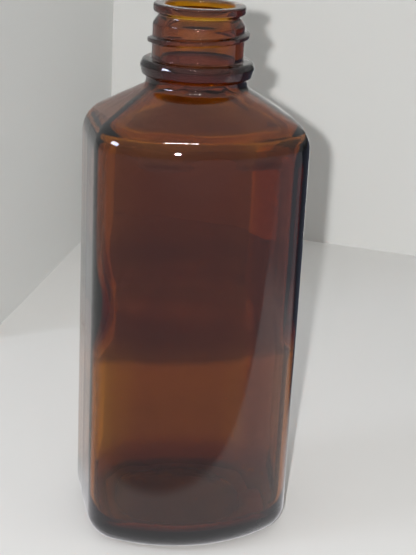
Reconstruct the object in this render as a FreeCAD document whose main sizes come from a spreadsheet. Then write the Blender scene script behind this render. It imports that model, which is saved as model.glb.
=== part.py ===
import FreeCAD, Part
import os
import Sketcher
from math import asin, cos, hypot, pi, radians, tan
from FreeCAD import Placement, Rotation, Vector

# Amber glass medicine bottle, blown as one piece in a two-part mould: a rounded-square body with
# crowned front and back faces and flat sides, a sloped shoulder, and a screw finish with a bead.
# It stands on z = 0 with its neck along +Z. The crowned faces look along -Y and +Y.

doc = FreeCAD.newDocument("MedicineBottle")

# Driving sizes, in millimetres and degrees: alias, value, what it measures.
sizes = (
    ("body_width", 59.0, "across the flat sides"),
    ("body_depth", 56.2, "across the crowns of the front and back faces"),
    ("face_radius", 44.3, "plan radius of the crowned faces"),
    ("corner_radius", 11.5, "plan radius of the upright corners"),
    ("heel_radius", 7.0, "rounding between the walls and the base"),
    ("body_height", 119.3, "base to the sharp corner of wall and shoulder"),
    ("shoulder_rise", 9.9, "that corner up to the foot of the neck"),
    ("shoulder_radius", 9.2, "rounding of the shoulder's outer edge"),
    ("neck_radius", 13.8, "outside of the neck under the bead"),
    ("neck_flare", 1.4, "width of the flare where the neck leaves the shoulder"),
    ("neck_flare_rise", 1.3, "height of that flare"),
    ("neck_gap", 2.5, "foot of the neck up to the underside of the bead"),
    ("bead_radius", 15.5, "outside of the bead"),
    ("bead_height", 4.6, "thickness of the bead"),
    ("bead_bevel", 1.3, "bevel of the bead's edges"),
    ("finish_radius", 12.45, "wall that carries the thread"),
    ("finish_length", 11.7, "middle of the bead up to the flare of the groove"),
    ("flare_height", 1.9, "flare from the thread wall in to the groove"),
    ("groove_radius", 10.85, "bottom of the groove under the lip"),
    ("groove_width", 0.6, "upright bottom of that groove"),
    ("lip_slope", 0.65, "height of the slope under the lip"),
    ("lip_radius", 12.4, "outside of the lip"),
    ("lip_height", 2.0, "foot of the lip's upright face to the top"),
    ("lip_bevel", 0.5, "bevel of the lip's outer edges"),
    ("bore_radius", 9.3, "inside of the neck"),
    ("mouth_bevel", 0.6, "bevel of the mouth's inner edge"),
    ("wall", 2.6, "glass in the body walls"),
    ("roof", 2.8, "glass in the shoulder"),
    ("floor_height", 5.2, "base to the inner floor at its edge"),
    ("inner_heel_bevel", 3.0, "bevel between the inner walls and floor"),
    ("bore_flare", 1.8, "widening of the bore where it opens into the shoulder"),
    ("bore_flare_rise", 2.6, "height of that widening"),
    ("push_up_radius", 18.0, "hollow in the underside of the base"),
    ("push_up_depth", 1.8, "depth of that hollow at its centre"),
    ("floor_dome_radius", 19.0, "dome of the inner floor"),
    ("floor_dome_rise", 1.2, "height of that dome"),
    ("thread_radius", 13.75, "crest of the thread"),
    ("thread_pitch", 4.3, "rise of the thread in one turn"),
    ("thread_sweep", 360.0, "angle from one end of the thread to the other"),
    ("thread_run_out", 45.0, "angle over which each end sinks into the wall"),
    ("thread_crest", 1.0, "width of the thread's flat crest"),
    ("thread_flank", 25.0, "lean of the thread's flanks"),
    ("thread_drop", 3.4, "top of the thread wall down to the middle of the thread"),
)

sheet = doc.addObject("Spreadsheet::Sheet", "Sizes")
for row, (alias, value, note) in enumerate(sizes, start=1):
    sheet.set(f"A{row}", alias)
    sheet.set(f"B{row}", str(value))
    sheet.setAlias(f"B{row}", alias)
    sheet.set(f"C{row}", note)
doc.recompute()

# Levels that follow from the driving sizes, as expressions on the sheet.
slope = "(Sizes.shoulder_rise / (Sizes.body_width / 2 - Sizes.neck_radius))"
neck_foot = "(Sizes.body_height + Sizes.shoulder_rise)"
flare_radius = "(Sizes.neck_radius + Sizes.neck_flare)"
flare_level = f"({neck_foot} - Sizes.neck_flare * {slope})"
bead_foot = f"({neck_foot} + Sizes.neck_gap)"
bead_top = f"({bead_foot} + Sizes.bead_height)"
finish_top = f"({bead_foot} + Sizes.bead_height / 2 + Sizes.finish_length)"
groove_foot = f"({finish_top} + Sizes.flare_height)"
groove_top = f"({groove_foot} + Sizes.groove_width)"
lip_foot = f"({groove_top} + Sizes.lip_slope)"
top = f"({lip_foot} + Sizes.lip_height)"

# The hollow's shoulder is a cone, a roof's thickness below the slope of the shoulder.
roof_drop = f"(Sizes.roof * sqrt(1 + {slope} ^ 2))"
inner_body_top = f"(Sizes.body_height + Sizes.wall * {slope} - {roof_drop})"
bore_foot = f"({neck_foot} + (Sizes.neck_radius - Sizes.bore_radius) * {slope} - {roof_drop})"
cone_radius = "(Sizes.body_width / 2 + Sizes.wall)"
cone_foot = f"({inner_body_top} - 2 * Sizes.wall * {slope})"

tolerance = 1e-4
origin_point = (-1, 1)
upright_axis = -2
thread_step = 30
thread_embedding = 0.4
sink_margin = 0.15
front = -90


def worth(expression):
    return float(sheet.evalExpression(expression))


def origin_plane(body, role):
    return next(item for item in body.Origin.OriginFeatures if item.Role == role)


def new_sketch(body, name, role, height=None):
    sketch = body.newObject("Sketcher::SketchObject", name)
    sketch.AttachmentSupport = [(origin_plane(body, role), "")]
    sketch.MapMode = "FlatFace"
    if height:
        sketch.setExpression("AttachmentOffset.Base.z", height)
    return sketch


def measure(sketch, name, expression, kind, *places):
    # A dimension that follows the sheet.
    index = sketch.addConstraint(Sketcher.Constraint(kind, *places, worth(expression)))
    sketch.renameConstraint(index, name)
    sketch.setExpression(f"Constraints.{name}", expression)


def arc(centre_x, centre_y, radius, start, end):
    circle = Part.Circle(Vector(centre_x, centre_y, 0), Vector(0, 0, 1), radius)
    return Part.ArcOfCircle(circle, start, end)


def line(start, end):
    return Part.LineSegment(Vector(*start, 0), Vector(*end, 0))


def section_sketch(body, name, height, inset):
    # Plan of the body, set in by the glass: flat sides, crowned faces and four tangent corners.
    half_width = f"(Sizes.body_width / 2 - {inset})"
    face_radius = f"(Sizes.face_radius - {inset})"
    corner_radius = f"(Sizes.corner_radius - {inset})"
    face_offset = "(Sizes.face_radius - Sizes.body_depth / 2)"

    side, face, corner, offset = map(worth, (half_width, face_radius, corner_radius, face_offset))
    corner_x = side - corner
    lean = asin(corner_x / (face - corner))
    corner_y = (face - corner) * cos(lean) - offset

    sketch = new_sketch(body, name, "XY_Plane", height)
    outline = (
        line((side, -corner_y), (side, corner_y)),
        arc(corner_x, corner_y, corner, 0, pi / 2 - lean),
        arc(0, -offset, face, pi / 2 - lean, pi / 2 + lean),
        arc(-corner_x, corner_y, corner, pi / 2 + lean, pi),
        line((-side, corner_y), (-side, -corner_y)),
        arc(-corner_x, -corner_y, corner, pi, 3 * pi / 2 - lean),
        arc(0, offset, face, 3 * pi / 2 - lean, 3 * pi / 2 + lean),
        arc(corner_x, -corner_y, corner, 3 * pi / 2 + lean, 2 * pi),
    )
    sketch.addGeometry(list(outline), False)
    right_side, back_face, left_side, front_face = 0, 2, 4, 6
    corners = (1, 3, 5, 7)
    for index in range(len(outline)):
        following = (index + 1) % len(outline)
        sketch.addConstraint(Sketcher.Constraint("Tangent", index, 2, following, 1))
    for index in (right_side, left_side):
        sketch.addConstraint(Sketcher.Constraint("Vertical", index))
    for index in (back_face, front_face):
        sketch.addConstraint(Sketcher.Constraint("PointOnObject", index, 3, upright_axis))
    for index in corners[1:]:
        sketch.addConstraint(Sketcher.Constraint("Equal", corners[0], index))
    sketch.addConstraint(Sketcher.Constraint("Equal", back_face, front_face))
    measure(sketch, "corner", corner_radius, "Radius", corners[0])
    measure(sketch, "face", face_radius, "Radius", back_face)
    measure(sketch, "right", half_width, "DistanceX", *origin_point, right_side, 1)
    measure(sketch, "left", half_width, "DistanceX", left_side, 1, *origin_point)
    measure(sketch, "back", face_offset, "DistanceY", back_face, 3, *origin_point)
    measure(sketch, "front", face_offset, "DistanceY", *origin_point, front_face, 3)
    return sketch


def circle_sketch(body, name, height, radius):
    sketch = new_sketch(body, name, "XY_Plane", height)
    sketch.addGeometry(Part.Circle(Vector(0, 0, 0), Vector(0, 0, 1), worth(radius)), False)
    sketch.addConstraint(Sketcher.Constraint("Coincident", 0, 3, *origin_point))
    measure(sketch, "radius", radius, "Radius", 0)
    return sketch


def profile_sketch(body, name, corners):
    # Half section of a turned shape: straight runs through corners given as (radius, height).
    sketch = new_sketch(body, name, "XZ_Plane")
    points = [(worth(radius), worth(height)) for radius, height in corners]
    for start, end in zip(points, points[1:] + points[:1]):
        sketch.addGeometry(line(start, end), False)
    for index, (radius, height) in enumerate(corners):
        before = (index - 1) % len(corners)
        sketch.addConstraint(Sketcher.Constraint("Coincident", before, 2, index, 1))
        if radius == "0":
            sketch.addConstraint(Sketcher.Constraint("PointOnObject", index, 1, upright_axis))
        else:
            measure(sketch, f"radius_{index}", radius, "DistanceX", *origin_point, index, 1)
        measure(sketch, f"height_{index}", height, "DistanceY", *origin_point, index, 1)
    return sketch


def pad(body, name, sketch, length):
    feature = body.newObject("PartDesign::Pad", name)
    feature.Profile = sketch
    feature.setExpression("Length", length)
    return feature


def loft(body, name, lower, upper):
    feature = body.newObject("PartDesign::AdditiveLoft", name)
    feature.Profile = lower
    feature.Sections = [upper]
    feature.Ruled = True
    return feature


def turn(body, name, sketch, kind="Revolution"):
    feature = body.newObject(f"PartDesign::{kind}", name)
    feature.Profile = sketch
    feature.ReferenceAxis = (sketch, ["V_Axis"])
    feature.Angle = 360
    return feature


def dress_edges(body, name, kind, size, amount, choose):
    # Rounds or bevels the edges of the newest feature that the test picks.
    doc.recompute()
    base = body.Tip
    names = [f"Edge{i}" for i, edge in enumerate(base.Shape.Edges, start=1) if choose(edge)]
    feature = body.newObject(f"PartDesign::{kind}", name)
    feature.Base = (base, names)
    feature.setExpression(size, amount)
    return feature


def at_level(height, beyond=0):
    # Edges that lie level at a height, all of them further from the axis than a radius.
    def choose(edge):
        ends = edge.Vertexes
        level = all(abs(vertex.Z - worth(height)) < tolerance for vertex in ends)
        return level and all(hypot(v.X, v.Y) > beyond + tolerance for v in ends)
    return choose


def dish(body, name, radius, rise, base):
    # Shallow dome cut from the underside of a body: a large sphere that meets the level base in a
    # circle. Its poles lie across the bottle.
    sphere = body.newObject("PartDesign::SubtractiveSphere", name)
    size = f"(({radius} ^ 2 + {rise} ^ 2) / (2 * {rise}))"
    sphere.setExpression("Radius", size)
    sphere.Placement = Placement(Vector(0, 0, worth(f"{base} + {rise} - {size}")), Rotation(Vector(1, 0, 0), 90))
    sphere.setExpression("Placement.Base.z", f"{base} + {rise} - {size}")
    return sphere


def outside_of_glass():
    body = doc.addObject("PartDesign::Body", "Outside")
    pad(body, "Walls", section_sketch(body, "WallPlan", None, "0"), "Sizes.body_height")
    lower = section_sketch(body, "ShoulderPlan", "Sizes.body_height", "0")
    upper = circle_sketch(body, "FlarePlan", flare_level, flare_radius)
    loft(body, "Shoulder", lower, upper)
    turn(body, "Neck", profile_sketch(body, "NeckProfile", (
        ("0", flare_level),
        (flare_radius, flare_level),
        ("Sizes.neck_radius", f"{neck_foot} + Sizes.neck_flare_rise"),
        ("Sizes.neck_radius", bead_foot),
        ("Sizes.bead_radius - Sizes.bead_bevel", bead_foot),
        ("Sizes.bead_radius", f"{bead_foot} + Sizes.bead_bevel"),
        ("Sizes.bead_radius", f"{bead_top} - Sizes.bead_bevel"),
        ("Sizes.bead_radius - Sizes.bead_bevel", bead_top),
        ("Sizes.finish_radius", bead_top),
        ("Sizes.finish_radius", finish_top),
        ("Sizes.groove_radius", groove_foot),
        ("Sizes.groove_radius", groove_top),
        ("Sizes.lip_radius - Sizes.lip_bevel", lip_foot),
        ("Sizes.lip_radius", f"{lip_foot} + Sizes.lip_bevel"),
        ("Sizes.lip_radius", f"{top} - Sizes.lip_bevel"),
        ("Sizes.lip_radius - Sizes.lip_bevel", top),
        ("0", top),
    )))
    dish(body, "PushUp", "Sizes.push_up_radius", "Sizes.push_up_depth", "0")
    heel = at_level("0", worth("Sizes.push_up_radius"))
    dress_edges(body, "Heel", "Fillet", "Radius", "Sizes.heel_radius", heel)
    dress_edges(body, "ShoulderEdge", "Fillet", "Radius", "Sizes.shoulder_radius",
                at_level("Sizes.body_height"))
    return body


def hollow():
    # What the walls enclose, and what is turned about the axis: the cone of the shoulder and the
    # bore. The hollow of the bottle is where the two overlap.
    enclosed = doc.addObject("PartDesign::Body", "Enclosed")
    plan = section_sketch(enclosed, "InnerWallPlan", "Sizes.floor_height", "Sizes.wall")
    pad(enclosed, "InnerWalls", plan, f"{top} - Sizes.floor_height")
    dish(enclosed, "FloorDome", "Sizes.floor_dome_radius", "Sizes.floor_dome_rise", "Sizes.floor_height")
    inner_heel = at_level("Sizes.floor_height", worth("Sizes.floor_dome_radius"))
    dress_edges(enclosed, "InnerHeel", "Chamfer", "Size", "Sizes.inner_heel_bevel", inner_heel)

    turned = doc.addObject("PartDesign::Body", "Turned")
    flare = "(Sizes.bore_radius + Sizes.bore_flare)"
    turn(turned, "Bore", profile_sketch(turned, "BoreProfile", (
        ("0", "Sizes.floor_height"),
        (cone_radius, "Sizes.floor_height"),
        (cone_radius, cone_foot),
        (flare, f"({bore_foot} - Sizes.bore_flare * {slope})"),
        ("Sizes.bore_radius", f"({bore_foot} + Sizes.bore_flare_rise - Sizes.bore_flare * {slope})"),
        ("Sizes.bore_radius", f"({top} - Sizes.mouth_bevel)"),
        ("Sizes.bore_radius + Sizes.mouth_bevel", top),
        ("0", top),
    )))
    common = doc.addObject("Part::Common", "Hollow")
    common.Base = enclosed
    common.Tool = turned
    return common


def thread_section(angle, level, sink):
    # One section of the thread: flanks that lean in to a flat crest, closed by a chord inside the
    # wall. Where the thread runs out, the whole section sinks towards the axis.
    crest, root = worth("Sizes.thread_radius"), worth("Sizes.finish_radius") - thread_embedding
    crest_half = worth("Sizes.thread_crest") / 2
    root_half = crest_half + (crest - root) * tan(radians(worth("Sizes.thread_flank")))
    turned = Rotation(Vector(0, 0, 1), angle)
    corners = ((root, -root_half), (crest, -crest_half), (crest, crest_half), (root, root_half))
    points = [turned.multVec(Vector(radius - sink, 0, level + height)) for radius, height in corners]
    return Part.makePolygon(points + points[:1])


def thread():
    # Right-hand thread, its middle at the front, with both ends sunk into the wall at the back.
    sweep, run_out = worth("Sizes.thread_sweep"), worth("Sizes.thread_run_out")
    full_sink = worth("Sizes.thread_radius - Sizes.finish_radius") + sink_margin
    middle = worth(f"{finish_top} - Sizes.thread_drop")
    count = round(sweep / thread_step)
    sections = []
    for index in range(count + 1):
        along = sweep * index / count
        rising = min(1, along / run_out, (sweep - along) / run_out)
        turned = along - sweep / 2
        level = middle + worth("Sizes.thread_pitch") * turned / 360
        sections.append(thread_section(front + turned, level, full_sink * (1 - rising)))
    ridge = doc.addObject("Part::Feature", "Thread")
    ridge.Shape = Part.makeLoft(sections, True, False)
    ridge.Placement = Placement()
    return ridge


outside = outside_of_glass()
inside = hollow()
ridge = thread()

glass = doc.addObject("Part::Fuse", "ThreadedOutside")
glass.Base = outside
glass.Tool = ridge

bottle = doc.addObject("Part::Cut", "Bottle")
bottle.Base = glass
bottle.Tool = inside
bottle.Label = "bottle"
bottle.Placement = Placement()
doc.recompute()

for item in doc.Objects:
    if "Invalid" in item.State or "Error" in item.State:
        raise RuntimeError(f"{item.Label} failed: {item.State}")

parts = (bottle,)
os.makedirs("parts", exist_ok=True)
for part in parts:
    shape = part.Shape
    if shape.isNull() or not shape.isValid() or len(shape.Solids) != 1:
        raise RuntimeError(f"{part.Label} is not one valid solid")
    shape.exportStep(f"parts/{part.Label}.step")
    box = shape.optimalBoundingBox(False, False)
    print(f"{part.Label}: {box.XLength:.2f} x {box.YLength:.2f} x {box.ZLength:.2f} mm, "
          f"{shape.Volume / 1000:.1f} cm3 of glass, {len(shape.Faces)} faces")
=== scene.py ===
import math

import bpy
from mathutils import Matrix, Vector
from mathutils.geometry import interpolate_bezier


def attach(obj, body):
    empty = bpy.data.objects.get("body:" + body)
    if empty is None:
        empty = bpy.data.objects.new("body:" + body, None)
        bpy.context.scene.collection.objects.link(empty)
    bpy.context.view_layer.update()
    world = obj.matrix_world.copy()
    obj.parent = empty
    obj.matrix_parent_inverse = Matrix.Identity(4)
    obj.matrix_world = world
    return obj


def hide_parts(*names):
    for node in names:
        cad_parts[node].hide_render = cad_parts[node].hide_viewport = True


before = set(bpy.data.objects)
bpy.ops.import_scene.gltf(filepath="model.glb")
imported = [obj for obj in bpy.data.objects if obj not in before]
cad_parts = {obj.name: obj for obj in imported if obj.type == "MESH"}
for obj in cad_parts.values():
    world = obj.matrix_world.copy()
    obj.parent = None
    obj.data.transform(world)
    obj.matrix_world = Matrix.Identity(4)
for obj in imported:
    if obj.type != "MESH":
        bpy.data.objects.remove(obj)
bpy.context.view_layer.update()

# Amber glass medicine bottle. The wall is one closed skin: a half section, outside and inside,
# is carried round the plan of the body and turns into circles at the neck and the base.
# The dictionaries glass, thread, seam, settle and view hold millimetres and degrees. All else is
# in metres.

mm = 0.001


class Field:
    # wraps a socket of a shader or geometry tree, so that maths on it reads as maths
    def __init__(self, tree, socket):
        self.tree, self.socket = tree, socket

    def math(self, operation, *others):
        node = self.tree.nodes.new("ShaderNodeMath")
        node.operation = operation
        for place, value in zip(node.inputs, (self,) + others):
            join(self.tree, place, value)
        return Field(self.tree, node.outputs[0])

    def __add__(self, other): return self.math("ADD", other)
    def __sub__(self, other): return self.math("SUBTRACT", other)
    def __mul__(self, other): return self.math("MULTIPLY", other)
    def __truediv__(self, other): return self.math("DIVIDE", other)
    def __rsub__(self, other): return self * -1 + other
    __radd__ = __add__
    __rmul__ = __mul__


def join(tree, place, value):
    if isinstance(value, Field):
        tree.links.new(value.socket, place)
    else:
        place.default_value = value


def add(tree, kind, settings=None, out=0, **sockets):
    # any other node: its type, its settings, then the values or links of its sockets, by name or
    # as the letter i and a number
    node = tree.nodes.new(kind)
    for name, value in (settings or {}).items():
        setattr(node, name, value)
    for name, value in sockets.items():
        numbered = name[0] == "i" and name[1:].isdigit()
        join(tree, node.inputs[int(name[1:]) if numbered else name.replace("_", " ")], value)
    return Field(tree, node.outputs[out])


def ranged(tree, amount, start, end, kind="LINEAR", **ends):
    # 0 at the start and 1 at the end, or what To_Min and To_Max say
    return add(tree, "ShaderNodeMapRange", {"interpolation_type": kind}, Value=amount,
               From_Min=start, From_Max=end, **ends)


# the body, the neck and the finish, then the inside and the underside
glass = {
    "halfWidth": 29.44, "halfDepth": 28.09, "faceRadius": 44.3, "sideRadius": 457.0, "cornerRadius": 11.5,
    "heelRadius": 7.0, "bodyHeight": 119.3, "shoulderRise": 9.9, "shoulderRadius": 9.2,
    "neckRadius": 13.8, "neckRoot": 2.6, "beadRadius": 15.5, "beadFoot": 131.6, "beadTop": 136.3,
    "beadChamfer": 0.55, "beadBulge": 0.05, "beadDrop": 1.7, "beadInset": 0.75,
    "beadRounds": (0.45, 1.0, 1.0, 1.1, 0.6),
    "finishRadius": 12.45, "finishFoot": 0.65, "finishTop": 145.7, "flareRound": 1.2,
    "grooveRadius": 10.85, "grooveLevel": 147.9, "grooveRound": 0.5,
    "lipFoot": 148.85, "lipRadius": 12.4, "lipRound": 0.55, "lipLand": 1.0, "mouthLand": 1.2,
    "top": 150.85, "mouthRound": 0.75,
    "boreRadius": 9.3, "boreClear": 0.4, "boreStraight": 2.5, "boreEase": 6.0, "neckBore": 10.1,
    "funnelTop": 138.0, "funnelReach": 5.5, "funnelDown": 0.85, "funnelOut": 0.9,
    "wall": 2.6, "roof": 2.6, "innerShoulder": 2.2, "innerHeel": 5.0,
    "floorLevel": 5.2, "floorDome": 1.2, "domeRadius": 19.0, "domeEdge": 19.6,
    "pushUpRadius": 18.0, "pushUpDepth": 1.8, "pushUpRound": 0.8,
}
thread = {
    "level": 142.3, "pitch": 4.3, "height": 1.3, "crestHalf": 0.3, "rootHalf": 1.2,
    "runOut": 38.0, "sweep": 360.0, "frontAngle": -90.0,
}
seam = {"height": 0.05, "halfWidth": 0.35, "foot": 2.8}
# the uneven inside: thicker above mid height, a wave there, thinner faces in a band under the
# shoulder, thinner corners, a thicker right side, a thicker foot at the back, and a ripple
settle = {
    "thicker": 0.7, "low": 57.0, "high": 66.0,
    "waveHeight": 1.9, "waveLevel": 69.0, "waveSpread": 9.0,
    "thinTop": 1.2, "thinFrom": 111.5, "thinTo": 115.0, "bandEnd": 125.0, "bandFade": 0.85,
    "middleNear": 2.0, "middleFar": 12.0, "middleShare": 0.35,
    "cornerStretch": 0.9, "stretchFade": 9.0,
    "rightThicker": 1.5, "rightFrom": 0.35, "rightTo": 0.85, "behindFrom": -0.45, "behindTo": 0.1,
    "backHeel": 1.3, "heelHigh": 12.5, "heelLow": 7.5,
    "ripple": 0.22, "rippleScale": 34.0, "rippleHeight": 0.35, "leastShare": 0.02, "floorClear": 0.5,
    "outerRipple": 0.035, "outerScale": 26.0, "outerSink": 0.35,
}
counts = {
    "side": 14, "corner": 30, "face": 52,
    "dome": 12, "wall": 34, "bead": (4, 6, 7, 7, 5), "finish": 78, "bore": 20, "funnel": 26, "innerWall": 52,
}
weldReach = 2e-6
columnNames = ("centreX", "centreY", "arcRadius", "normalX", "normalY", "bend")
rowNames = ("share", "inset", "circle", "level", "inner")


def planColumns():
    # Columns round the plan: each has the centre and the radius of its arc, its outward normal and
    # how much it belongs to a corner or a flat side.
    half, depth, face, sideR, corner = (
        glass[k] for k in ("halfWidth", "halfDepth", "faceRadius", "sideRadius", "cornerRadius"))
    faceCentre, sideCentre = Vector((0, depth - face)), Vector((half - sideR, 0))
    toFace, toSide = face - corner, sideR - corner
    gap = faceCentre - sideCentre
    along = (toSide ** 2 - toFace ** 2 + gap.length ** 2) / (2 * gap.length)
    up = math.sqrt(toSide ** 2 - along ** 2)
    axis = gap.normalized()
    cornerCentre = sideCentre + axis * along + Vector((-axis.y, axis.x)) * up
    sideHalf = math.atan2(cornerCentre.y, cornerCentre.x - sideCentre.x)
    faceHalf = math.atan2(cornerCentre.x, cornerCentre.y - faceCentre.y)
    quarter = math.pi / 2
    arcs = []
    for turn, mirror in ((0, (1, 1)), (1, (-1, 1)), (2, (-1, -1)), (3, (1, -1))):
        centre = Vector((cornerCentre.x * mirror[0], cornerCentre.y * mirror[1]))
        start = (sideHalf, quarter + faceHalf, 2 * quarter + sideHalf, 3 * quarter + faceHalf)[turn]
        end = (quarter - faceHalf, 2 * quarter - sideHalf, 3 * quarter - faceHalf, 4 * quarter - sideHalf)[turn]
        arcs.append((centre, corner, start, end, counts["corner"]))
        nextCentre, nextRadius, spread, number = (
            (faceCentre, face, faceHalf, counts["face"]), (-sideCentre, sideR, sideHalf, counts["side"]),
            (-faceCentre, face, faceHalf, counts["face"]), (sideCentre, sideR, sideHalf, counts["side"]),
        )[turn]
        arcs.append((nextCentre, nextRadius, end, end + 2 * spread, number))
    columns = []
    for centre, radius, start, end, number in arcs:
        for step in range(number):
            angle = start + (end - start) * step / number
            along = min(step, number - step) / number * (end - start) * radius / settle["stretchFade"]
            bend = max(0.0, 1 - along) ** 2 * (1 + 2 * along) if radius == face else 1.0
            columns.append((centre.x, centre.y, radius, math.cos(angle), math.sin(angle), bend))
    return columns


def arcRows(centre, radius, start, end, number):
    # points of a round stretch of the half section, by angle in degrees
    steps = [math.radians(start + (end - start) * i / number) for i in range(number + 1)]
    return [(centre[0] + radius * math.cos(a), centre[1] + radius * math.sin(a)) for a in steps]


def straightRows(start, end, number):
    return [tuple(a + (b - a) * i / number for a, b in zip(start, end)) for i in range(number + 1)]


def curvedRows(points, number):
    return [(p.x, p.y) for p in interpolate_bezier(*(point.to_3d() for point in points), number)]


def domeRows(radius, height, number):
    # a shallow cap, as distance from the axis and drop below its top, from the axis to its rim
    sphere = (radius ** 2 + height ** 2) / (2 * height)
    spread = math.asin(radius / sphere)
    steps = [spread * i / number for i in range(number)]
    return [(sphere * math.sin(a), sphere * (1 - math.cos(a))) for a in steps]


def rounded(corner, before, after, radius, number):
    # the arc of a radius that rounds the corner between two straight stretches
    corner, before, after = Vector(corner), Vector(before), Vector(after)
    back, on = (before - corner).normalized(), (after - corner).normalized()
    half = back.angle(on) / 2
    centre = corner + (back + on).normalized() * radius / math.sin(half)
    first, last = corner + back * radius / math.tan(half), corner + on * radius / math.tan(half)
    a, b = (first - centre), (last - centre)
    start, end = math.degrees(math.atan2(a.y, a.x)), math.degrees(math.atan2(b.y, b.x))
    if end - start > 180:
        end -= 360
    if start - end > 180:
        end += 360
    return arcRows(centre, radius, start, end, number)


def sectionRows():
    # The half section from the middle of the underside, up the outside and down the inside to the
    # middle of the floor. A row is (share of circle, inset of the plan, radius of circle, level,
    # 1 on the inside).
    g = glass
    rows = []

    def turned(points, inner=0):
        rows.extend((1.0, 0.0, radius, level, inner) for radius, level in points)

    def walled(points, inner=0):
        rows.extend((0.0, g["halfWidth"] - radius, 0.0, level, inner) for radius, level in points)

    def blended(points, wide, circle, inner=0):
        # between the plan, set in to a half width, and a circle
        for radius, level in points:
            share = (wide - radius) / (wide - circle)
            rows.append((share, g["halfWidth"] - wide, circle, level, inner))

    # underside: the push-up, its rim and the level bearing ring
    pushUp, heelIn = g["pushUpRadius"], g["halfWidth"] - g["heelRadius"]
    dome = [(radius, g["pushUpDepth"] - drop) for radius, drop in domeRows(pushUp, g["pushUpDepth"], counts["dome"])]
    turned(dome)
    turned(rounded((pushUp, 0), dome[-1], (heelIn, 0), g["pushUpRound"], 4))
    blended(straightRows((pushUp + g["pushUpRound"], 0), (heelIn, 0), 5)[1:-1], heelIn, pushUp)

    # heel, wall, shoulder
    walled(arcRows((heelIn, g["heelRadius"]), g["heelRadius"], -90, 0, 14))
    slope = g["shoulderRise"] / (g["halfWidth"] - g["neckRadius"])
    foot = (g["neckRadius"], g["bodyHeight"] + g["shoulderRise"])
    corner = (g["halfWidth"], g["bodyHeight"])
    shoulder = rounded(corner, (g["halfWidth"], 0), foot, g["shoulderRadius"], 12)
    walled(straightRows((g["halfWidth"], g["heelRadius"]), shoulder[0], counts["wall"])[1:-1])
    root = rounded(foot, corner, (g["neckRadius"], g["top"]), g["neckRoot"], 7)
    blended(shoulder + straightRows(shoulder[-1], root[0], 12)[1:-1] + root, g["halfWidth"], g["neckRadius"])

    # neck and bead
    wallFoot = (g["finishRadius"], g["beadTop"])
    corners = [
        (g["neckRadius"], 0), (g["neckRadius"], g["beadFoot"]),
        (g["beadRadius"] - g["beadChamfer"], g["beadFoot"] + g["beadChamfer"]),
        (g["beadRadius"] + g["beadBulge"], g["beadTop"] - g["beadDrop"]),
        (g["beadRadius"] - g["beadInset"], g["beadTop"]), wallFoot, (wallFoot[0], g["top"]),
    ]
    for place, (radius, number) in enumerate(zip(g["beadRounds"], counts["bead"])):
        turned(rounded(corners[place + 1], corners[place], corners[place + 2], radius, number))

    # thread wall, flare, groove and lip
    finish = (g["finishRadius"], g["finishTop"])
    groove = (g["grooveRadius"], g["grooveLevel"])
    lip, lipTop = (g["lipRadius"], g["lipFoot"]), (g["lipRadius"], g["top"])
    mouth = (g["boreRadius"], g["top"])
    flareIn = rounded(finish, wallFoot, groove, g["flareRound"], 4)
    turned(straightRows((wallFoot[0], wallFoot[1] + g["finishFoot"]), flareIn[0], counts["finish"])[1:-1])
    turned(flareIn)
    turned(rounded(groove, finish, lip, g["grooveRound"], 5))
    turned(rounded(lip, groove, lipTop, g["lipRound"], 5))
    turned(rounded(lipTop, lip, mouth, g["lipRound"], 6))
    turned(straightRows((g["lipRadius"] - g["lipLand"], g["top"]), (g["boreRadius"] + g["mouthLand"], g["top"]), 3))
    turned(rounded(mouth, lipTop, (g["boreRadius"], 0), g["mouthRound"], 6))

    # bore, and the inside of the shoulder a roof's thickness below the outside
    drop = g["roof"] * math.sqrt(1 + slope ** 2)
    inWide, inCircle = g["halfWidth"] - g["wall"], g["neckBore"]
    inCorner = (inWide, g["bodyHeight"] + g["wall"] * slope - drop)
    inFoot = (inCircle, foot[1] + (g["neckRadius"] - inCircle) * slope - drop)
    mouthFoot = Vector((g["boreRadius"], g["top"] - g["mouthRound"] - g["boreClear"]))
    turned(curvedRows([
        mouthFoot, mouthFoot - Vector((0, g["boreStraight"])),
        Vector((inCircle, g["funnelTop"] + g["boreEase"])), Vector((inCircle, g["funnelTop"] + g["boreClear"])),
    ], counts["bore"]), 1)
    begin, lean = Vector((inCircle, g["funnelTop"])), Vector((1, -slope)).normalized()
    roofPoint = Vector(inFoot) + lean * g["funnelReach"]
    funnel = curvedRows([
        begin, begin + Vector((0, inFoot[1] - begin.y)) * g["funnelDown"],
        roofPoint - lean * g["funnelReach"] * g["funnelOut"], roofPoint,
    ], counts["funnel"])
    floor = (inWide, g["floorLevel"])
    under = rounded(inCorner, inFoot, floor, g["innerShoulder"], 12)
    blended(funnel + straightRows(funnel[-1], under[0], 10)[1:-1] + under, inWide, inCircle, 1)

    # inner wall, inner heel and the domed floor
    innerHeel = rounded(floor, inCorner, (0, g["floorLevel"]), g["innerHeel"], 12)
    walled(straightRows(under[-1], innerHeel[0], counts["innerWall"])[1:-1], 1)
    walled(innerHeel, 1)
    edge = innerHeel[-1][0]
    level = straightRows((edge, g["floorLevel"]), (g["domeEdge"], g["floorLevel"]), 3)
    blended(level[1:], edge, g["domeRadius"], 1)
    inDome = domeRows(g["domeRadius"], g["floorDome"], counts["dome"])
    turned([(radius, g["floorLevel"] + g["floorDome"] - drop) for radius, drop in reversed(inDome)], 1)
    return rows


def pointCloud(name, columns, table):
    # a mesh of loose points that carries named numbers, one per column or row of the wrap
    mesh = bpy.data.meshes.new(name)
    mesh.from_pydata([(0, 0, 0)] * len(table), [], [])
    for place, column in enumerate(columns):
        layer = mesh.attributes.new(column, "FLOAT", "POINT")
        layer.data.foreach_set("value", [float(line[place]) for line in table])
    piece = bpy.data.objects.new(name, mesh)
    bpy.context.scene.collection.objects.link(piece)
    return piece


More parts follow.
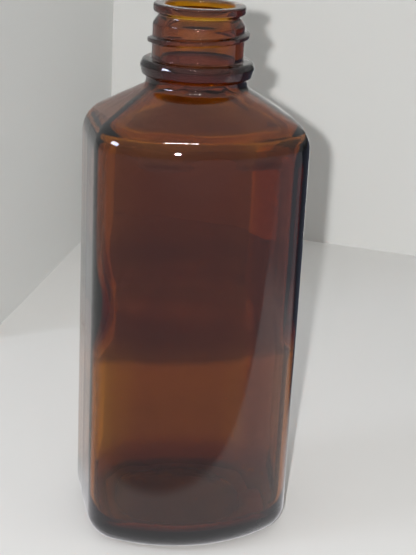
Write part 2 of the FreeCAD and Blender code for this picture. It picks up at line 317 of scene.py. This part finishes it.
# the inputs of the wrap
handles = {
    "Thread level": thread["level"] * mm, "Thread pitch": thread["pitch"] * mm,
    "Thread height": thread["height"] * mm, "Settle wave": settle["waveHeight"] * mm,
    "Ripple": settle["ripple"] * mm, "Outer ripple": settle["outerRipple"] * mm,
    "Thicker above": settle["thicker"] * mm, "Corner stretch": settle["cornerStretch"] * mm,
    "Right thicker": settle["rightThicker"] * mm, "Thin top": settle["thinTop"] * mm,
    "Back heel": settle["backHeel"] * mm,
}


def wrapTree():
    # Carries the section's rows round the plan's columns and adds the thread, the mould seam and the
    # unevenness of blown glass.
    tree = bpy.data.node_groups.new("wrapGlass", "GeometryNodeTree")
    face = tree.interface
    face.new_socket("Geometry", in_out="INPUT", socket_type="NodeSocketGeometry")
    face.new_socket("Plan", in_out="INPUT", socket_type="NodeSocketObject")
    face.new_socket("Skin", in_out="INPUT", socket_type="NodeSocketMaterial")
    for name, amount in handles.items():
        face.new_socket(name, in_out="INPUT", socket_type="NodeSocketFloat").default_value = amount
    face.new_socket("Geometry", in_out="OUTPUT", socket_type="NodeSocketGeometry")
    given = tree.nodes.new("NodeGroupInput")
    value = {socket.name: Field(tree, socket) for socket in given.outputs}

    section = value["Geometry"]
    plan = add(tree, "GeometryNodeObjectInfo", {"transform_space": "RELATIVE"}, "Geometry", Object=value["Plan"])
    rowCount = add(tree, "GeometryNodeAttributeDomainSize", {"component": "MESH"}, Geometry=section)
    columnCount = add(tree, "GeometryNodeAttributeDomainSize", {"component": "MESH"}, Geometry=plan)
    sheet = add(tree, "GeometryNodeMeshGrid", Vertices_X=columnCount + 1, Vertices_Y=rowCount)
    index = add(tree, "GeometryNodeInputIndex")
    row = index.math("MODULO", rowCount)
    column = (index / rowCount).math("FLOOR").math("MODULO", columnCount)

    def sampled(source, name, place):
        number = add(tree, "GeometryNodeInputNamedAttribute", {"data_type": "FLOAT"}, Name=name)
        return add(tree, "GeometryNodeSampleIndex", {"data_type": "FLOAT", "domain": "POINT"},
                   Geometry=source, Value=number, Index=place)

    def eased(amount, start, end, **ends):
        return ranged(tree, amount, start, end, "SMOOTHSTEP", **ends)

    share, inset, circle, level, inner = (sampled(section, name, row) for name in rowNames)
    centreX, centreY, radius, normalX, normalY, bend = (sampled(plan, name, column) for name in columnNames)
    ownShare, outside = 1 - share, 1 - inner
    reach = (radius - inset) * ownShare + circle * share
    x, y = centreX * ownShare + normalX * reach, centreY * ownShare + normalY * reach

    # right-hand thread on the finish: the ridge follows the angle and sinks in at both ends
    angle = y.math("ARCTAN2", x) - math.radians(thread["frontAngle"]) + math.pi
    fromFront = angle.math("FLOORED_MODULO", 2 * math.pi) - math.pi
    climb = fromFront / (2 * math.pi) * value["Thread pitch"] + value["Thread level"]
    away = (level * mm - climb).math("ABSOLUTE") / mm
    ridge = ranged(tree, away, thread["rootHalf"], thread["crestHalf"], "SMOOTHERSTEP")
    ends = math.radians(thread["sweep"] / 2)
    runOut = eased(fromFront.math("ABSOLUTE"), ends, ends - math.radians(thread["runOut"]))
    onFinish = outside * level.math("GREATER_THAN", glass["beadTop"]) * level.math("LESS_THAN", glass["finishTop"])
    lift = ridge * runOut * value["Thread height"] * onFinish

    # parting line of the mould, up the middle of both flat sides
    line = eased(y.math("ABSOLUTE"), seam["halfWidth"], 0.0)
    lift = lift + line * outside * level.math("GREATER_THAN", seam["foot"]) * (seam["height"] * mm)

    # how much thicker the wall is inwards, from the wave at mid height to the foot at the back
    wave = (level - settle["waveLevel"]) / settle["waveSpread"]
    swell = (wave * wave * -1).math("EXPONENT") * value["Settle wave"] * (0.5 - normalX * 0.5)
    step = eased(level, settle["low"], settle["high"])
    thin = eased(level, settle["thinFrom"], settle["thinTo"])
    band = thin - thin * eased(level, settle["thinTo"], settle["bandEnd"], To_Max=settle["bandFade"])
    apart = eased(x.math("ABSOLUTE"), settle["middleNear"], settle["middleFar"], To_Min=settle["middleShare"])
    swell = swell + step * value["Thicker above"] - band * apart * (1 - bend) * value["Thin top"]
    heel = eased(level, settle["heelHigh"], settle["heelLow"])
    swell = swell + heel * (normalY * 0.5 + 0.5) * value["Back heel"]
    right = eased(normalX, settle["rightFrom"], settle["rightTo"])
    behind = eased(normalY, settle["behindFrom"], settle["behindTo"])
    swell = swell + bend * right * step.math("MAXIMUM", behind) * (1 - thin) * value["Right thicker"]

    # the inner wall ripples, the outer one hardly
    spot = add(tree, "ShaderNodeCombineXYZ", X=x * mm, Y=y * mm, Z=level * (mm * settle["rippleHeight"]))
    noise, gentle = (
        add(tree, "ShaderNodeTexNoise", {"noise_dimensions": "3D"}, Vector=spot, Scale=settle[scale], Detail=1.0)
        for scale in ("rippleScale", "outerScale"))
    overFloor = level.math("GREATER_THAN", glass["floorLevel"] + settle["floorClear"])
    onWall = ownShare.math("GREATER_THAN", settle["leastShare"]) * overFloor
    push = inner * onWall * ((noise - 0.5) * value["Ripple"] - swell + bend * value["Corner stretch"])
    still = level.math("GREATER_THAN", glass["heelRadius"]) * level.math("LESS_THAN", glass["bodyHeight"])
    push = push + outside * still * ((gentle - 0.5) - settle["outerSink"]) * value["Outer ripple"]

    moved = lift + push
    place = add(tree, "ShaderNodeCombineXYZ", X=x * mm + normalX * moved, Y=y * mm + normalY * moved, Z=level * mm)
    placed = add(tree, "GeometryNodeSetPosition", Geometry=sheet, Position=place)
    merged = add(tree, "GeometryNodeMergeByDistance", Geometry=placed, Distance=weldReach)
    smooth = add(tree, "GeometryNodeSetShadeSmooth", Geometry=merged)
    real = add(tree, "GeometryNodeRealizeInstances", Geometry=smooth)
    dressed = add(tree, "GeometryNodeSetMaterial", Geometry=real, Material=value["Skin"])
    join(tree, tree.nodes.new("NodeGroupOutput").inputs[0], dressed)
    return tree


amber = {
    "base": (1.0, 1.0, 1.0, 1.0), "ior": 1.52, "roughness": 0.01, "smearRoughness": 0.01,
    "smearScale": 130.0, "smearLow": 0.45, "smearHigh": 0.75,
    "waverScale": 55.0, "waverStrength": 0.12, "waverDistance": 0.0004,
    "absorbColour": (0.856, 0.70, 0.02, 1.0), "absorbDensity": 1800.0,
}


def amberGlass():
    material = bpy.data.materials.new("amberGlass")
    material.use_nodes = True
    tree = material.node_tree
    tree.nodes.clear()
    place = add(tree, "ShaderNodeTexCoord", out="Object")
    waver = add(tree, "ShaderNodeTexNoise", Vector=place, Scale=amber["waverScale"], Detail=2.0)
    smear = add(tree, "ShaderNodeTexNoise", Vector=place, Scale=amber["smearScale"], Detail=3.0)
    bump = add(tree, "ShaderNodeBump", Height=waver, Strength=amber["waverStrength"], Distance=amber["waverDistance"])
    rough = ranged(tree, smear, amber["smearLow"], amber["smearHigh"],
                   To_Min=amber["roughness"], To_Max=amber["roughness"] + amber["smearRoughness"])
    skin = add(tree, "ShaderNodeBsdfPrincipled", Base_Color=amber["base"], Roughness=rough, IOR=amber["ior"],
               Transmission_Weight=1.0, Normal=bump)
    volume = add(tree, "ShaderNodeVolumeAbsorption", Color=amber["absorbColour"], Density=amber["absorbDensity"])
    output = tree.nodes.new("ShaderNodeOutputMaterial")
    join(tree, output.inputs["Surface"], skin)
    join(tree, output.inputs["Volume"], volume)
    return material


def signedVolume(mesh):
    mesh.calc_loop_triangles()
    corners = ([mesh.vertices[i].co for i in t.vertices] for t in mesh.loop_triangles)
    return sum(a.dot(b.cross(c)) for a, b, c in corners) / 6


def bottleGlass():
    skin = amberGlass()
    plan = pointCloud("planColumns", columnNames, planColumns())
    section = pointCloud("sectionRows", rowNames, sectionRows())
    wrap = section.modifiers.new("wrap", "NODES")
    wrap.node_group = wrapTree()
    sockets = {s.name: s.identifier for s in wrap.node_group.interface.items_tree if s.in_out == "INPUT"}
    for name, amount in {"Plan": plan, "Skin": skin, **handles}.items():
        wrap[sockets[name]] = amount
    graph = bpy.context.evaluated_depsgraph_get()
    mesh = bpy.data.meshes.new_from_object(section.evaluated_get(graph), depsgraph=graph)
    mesh.name = "bottleGlass"
    for helper in (section, plan):
        bpy.data.objects.remove(helper)
    piece = bpy.data.objects.new("bottleGlass", mesh)
    bpy.context.scene.collection.objects.link(piece)
    if signedVolume(mesh) < 0:
        mesh.flip_normals()
    print("bottle glass:", len(mesh.vertices), "points,", round(signedVolume(mesh) * 1e6, 2), "cm3")
    return piece


bottle = bottleGlass()
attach(bottle, "root")
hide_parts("bottle")
print("bottle done")

# The studio: a pale table, two pale boards set in a corner behind, and a soft world. A pair of
# numbers is a line across the table with half the width of its blur, or the two ends of a fade.
studio = {
    # leftColour and rightColour are one pale paint set apart as painted light: the left lighter, the right darker, to
    # give each board its brightness under the lamps
    "tableColour": (0.70, 0.693, 0.675), "leftColour": (0.67, 0.675, 0.66), "rightColour": (0.575, 0.575, 0.56),
    "paintRoughness": 0.8, "paintSpecular": 0.2, "tableReach": 3.0, "boardHeight": 0.45,
    "corner": (0.0233, 0.3077), "leftBoardEnd": (-0.0502, 0.1380), "rightBoardEnd": (0.1900, 0.2090),
    # boardThrough and boardMirrored: painted glow on the boards, seen only through or in the glass
    "boardThrough": 0.07, "boardMirrored": 0.05,
    # mirrorNear to darkRight: painted reflection, the colours the glass mirrors of the table in place of its real
    # shading
    "mirrorNear": (1.12, 1.10, 1.14), "mirrorFar": (0.50, 0.50, 0.56), "mirrorBeyond": (0.62, 0.62, 0.70),
    "mirrorRoom": (0.58, 0.58, 0.64), "mirrorDark": (0.10, 0.11, 0.15),
    "mirrorEdge": (-0.068, 0.004), "mirrorSlope": -0.37, "mirrorLeft": (-0.062, 0.02), "mirrorRight": (0.225, 0.03),
    "mirrorFoot": (-0.39, 0.03), "mirrorFront": (0.015, 0.02), "darkRight": (0.086, 0.012),
    # dimThrough, dimFront and dimBack: painted shade on the table behind the bottle, seen only through the glass
    "dimThrough": 0.48, "dimFront": (0.137, 0.012), "dimBack": (0.30, 0.20),
    "worldLow": 0.35, "worldHigh": 0.62, "worldRise": (-0.1, 0.8),
    # darkShare and darkWorld: painted reflection, the world darker for mirrored rays only
    "darkShare": 0.8, "darkWorldRight": (0.3, 0.45), "darkWorldBack": (0.0, 0.2), "darkWorldLow": (0.25, 0.05),
}


def mixColour(tree, factor, low, high):
    low, high = (v if isinstance(v, Field) else (*v, 1) for v in (low, high))
    return add(tree, "ShaderNodeMix", {"data_type": "RGBA"}, out=2, i0=factor, i6=low, i7=high)


def glassRays(tree):
    # the rays that came through the glass, and those that it mirrored
    rays = tree.nodes.new("ShaderNodeLightPath")
    isThrough = Field(tree, rays.outputs["Is Transmission Ray"])
    return isThrough, Field(tree, rays.outputs["Is Glossy Ray"]) * (1 - isThrough)


def boardLight(tree, shader):
    # a board is clear from behind, and for rays through or mirrored by the glass it has a painted glow, white
    # emission that adds light on it
    isThrough, isMirrored = glassRays(tree)
    glow = add(tree, "ShaderNodeEmission", Color=(1, 1, 1, 1),
               Strength=isThrough * studio["boardThrough"] + isMirrored * studio["boardMirrored"])
    lit = add(tree, "ShaderNodeAddShader", i0=shader, i1=glow)
    behind = add(tree, "ShaderNodeNewGeometry", out="Backfacing")
    return add(tree, "ShaderNodeMixShader", Fac=behind, i1=lit, i2=add(tree, "ShaderNodeBsdfTransparent"))


def tableLight(tree, shader):
    # painted reflection: for rays the glass mirrors, an emission colour stands in for the table, bright beside the
    # bottle, darker in front of a line, and dark at the back on the right
    isThrough, isMirrored = glassRays(tree)
    spot = tree.nodes.new("ShaderNodeSeparateXYZ")
    join(tree, spot.inputs[0], add(tree, "ShaderNodeTexCoord", out="Object"))
    x, y = Field(tree, spot.outputs[0]), Field(tree, spot.outputs[1])

    def past(amount, name):
        line, blur = studio[name]
        return ranged(tree, amount, line - blur, line + blur)

    near = past(y - x * studio["mirrorSlope"], "mirrorEdge") * past(x, "mirrorLeft")
    bright = mixColour(tree, past(x, "mirrorRight"), studio["mirrorNear"], studio["mirrorBeyond"])
    far = mixColour(tree, past(y, "mirrorFoot"), studio["mirrorRoom"], studio["mirrorFar"])
    behind = past(y, "mirrorFront")
    dark = behind * past(x, "darkRight")
    paintedReflection = mixColour(tree, dark, mixColour(tree, near, far, bright), studio["mirrorDark"])
    glow = add(tree, "ShaderNodeEmission", Color=paintedReflection, Strength=1.0)
    shader = add(tree, "ShaderNodeMixShader", Fac=isMirrored * (1 - behind * (1 - dark)), i1=shader, i2=glow)
    # painted shade: through the glass, the table behind the bottle is dimmer, a black emission mixed in
    paintedShade = past(y, "dimFront") * ranged(tree, y, *studio["dimBack"])
    black = add(tree, "ShaderNodeEmission", Strength=0.0)
    return add(tree, "ShaderNodeMixShader", Fac=isThrough * paintedShade * studio["dimThrough"], i1=shader, i2=black)


def paint(name, colour, light):
    material = bpy.data.materials.new(name)
    material.use_nodes = True
    tree = material.node_tree
    skin = tree.nodes["Principled BSDF"]
    skin.inputs["Base Color"].default_value = (*colour, 1)
    skin.inputs["Roughness"].default_value = studio["paintRoughness"]
    skin.inputs["Specular IOR Level"].default_value = studio["paintSpecular"]
    shader = light(tree, Field(tree, skin.outputs[0]))
    join(tree, tree.nodes["Material Output"].inputs["Surface"], shader)
    return material


def stageSheet(name, corners, material):
    mesh = bpy.data.meshes.new(name)
    mesh.from_pydata(corners, [], [tuple(range(len(corners)))])
    mesh.materials.append(material)
    piece = bpy.data.objects.new(name, mesh)
    bpy.context.scene.collection.objects.link(piece)


reach, high = studio["tableReach"], studio["boardHeight"]
stageSheet("table", [(-reach, -reach, 0), (reach, -reach, 0), (reach, reach, 0), (-reach, reach, 0)],
           paint("tablePaint", studio["tableColour"], tableLight))
(cx, cy), (lx, ly), (rx, ry) = (studio[k] for k in ("corner", "leftBoardEnd", "rightBoardEnd"))
stageSheet("leftBoard", [(lx, ly, 0), (cx, cy, 0), (cx, cy, high), (lx, ly, high)],
           paint("leftBoardPaint", studio["leftColour"], boardLight))
stageSheet("rightBoard", [(cx, cy, 0), (rx, ry, 0), (rx, ry, high), (cx, cy, high)],
           paint("rightBoardPaint", studio["rightColour"], boardLight))


def softWorld():
    # brighter upwards; for mirrored rays only the world is darker low down at the back on the right, a painted
    # reflection of a darker room
    world = bpy.data.worlds.new("studioWorld")
    bpy.context.scene.world = world
    world.use_nodes = True
    tree = world.node_tree
    tree.nodes.clear()
    parts = tree.nodes.new("ShaderNodeSeparateXYZ")
    join(tree, parts.inputs[0], add(tree, "ShaderNodeTexCoord", out="Generated"))
    x, y, height = (Field(tree, part) for part in parts.outputs)
    glow = ranged(tree, height, *studio["worldRise"], To_Min=studio["worldLow"], To_Max=studio["worldHigh"])
    dark = glassRays(tree)[1] * studio["darkShare"]
    for amount, name in ((x, "darkWorldRight"), (y, "darkWorldBack"), (height, "darkWorldLow")):
        dark = dark * ranged(tree, amount, *studio[name])
    light = add(tree, "ShaderNodeBackground", Color=(1, 1, 1, 1), Strength=glow * (1 - dark))
    join(tree, tree.nodes.new("ShaderNodeOutputWorld").inputs["Surface"], light)


softWorld()
print("studio done")

# the camera: where it stands, which way it looks, its turn about that way, and its focal length in
# the widths of the picture's long side
view = {
    "distance": 339.8, "bearing": -12.45, "heading": -0.96, "height": 194.5, "pitch": 19.52, "roll": 2.86,
    "focal": 1263.3 / 555, "sensor": 36.0, "nearest": 10.0,
}


def placeCamera():
    bearing, heading = math.radians(view["bearing"]), math.radians(view["bearing"] + view["heading"])
    lens = bpy.data.cameras.new("camera")
    lens.sensor_width = view["sensor"]
    lens.lens = view["focal"] * view["sensor"]
    lens.clip_start = view["nearest"] * mm
    camera = bpy.data.objects.new("camera", lens)
    place = Vector((math.sin(bearing), -math.cos(bearing), 0)) * view["distance"] * mm
    place.z = view["height"] * mm
    tilt = Matrix.Rotation(math.radians(90 - view["pitch"]), 4, "X")
    turn = Matrix.Rotation(heading, 4, "Z")
    roll = Matrix.Rotation(math.radians(view["roll"]), 4, "Z")
    camera.matrix_world = Matrix.Translation(place) @ turn @ tilt @ roll
    bpy.context.scene.collection.objects.link(camera)
    bpy.context.scene.camera = camera


placeCamera()
print("camera done")

# A small lamp by the camera and a window on the left, then lamps that only the glass mirrors. Each
# is aimed at a height on the bottle's axis.
hand, window, white = (-0.088, -0.332, 0.200), (-1.15, -0.18, 0.74), (1, 1, 1)
lamps = {
    "handLamp": {"place": hand, "aim": 0.09, "size": (0.005, 0.004), "power": 2.1, "colour": white},
    "windowLamp": {"place": window, "aim": 0.1, "size": (0.34, 0.15), "power": 3.2, "colour": (0.80, 0.88, 1.0)},
}
glints = {
    "handGlint": {"place": hand, "aim": 0.12, "size": (0.024, 0.020), "power": 1.6, "colour": white},
    "ceilingGlint": {
        "place": (-0.30, -1.25, 1.53), "aim": 0.12, "size": (0.75, 0.08), "power": 6.0, "colour": white,
    },
    "windowGlint": {"place": window, "aim": 0.12, "size": (0.46, 0.20), "power": 8.0, "colour": (0.62, 0.72, 1.0)},
}
handReach = 0.6


def softLamp(name, facts):
    data = bpy.data.lights.new(name, "AREA")
    data.shape = "RECTANGLE"
    data.size, data.size_y = facts["size"]
    data.energy, data.color = facts["power"], facts["colour"]
    lamp = bpy.data.objects.new(name, data)
    lamp.location = facts["place"]
    aim = Vector((0, 0, facts["aim"])) - Vector(facts["place"])
    lamp.rotation_euler = aim.to_track_quat("-Z", "Y").to_euler()
    bpy.context.scene.collection.objects.link(lamp)
    return lamp


handLamp, windowLamp = (softLamp(name, facts) for name, facts in lamps.items())
windowLamp.visible_glossy = False
for name, facts in glints.items():
    glint = softLamp(name, facts)
    glint.visible_diffuse = glint.visible_camera = glint.visible_transmission = False

# the hand lamp fades with the distance, not its square, so that the table beside it stays grey
handLamp.data.use_nodes = True
lampTree = handLamp.data.node_tree
fade = add(lampTree, "ShaderNodeLightFalloff", out="Linear", Strength=1 / handReach)
join(lampTree, lampTree.nodes["Emission"].inputs["Strength"], fade)
print("lamps done")

bpy.context.scene.view_settings.view_transform = "Standard"
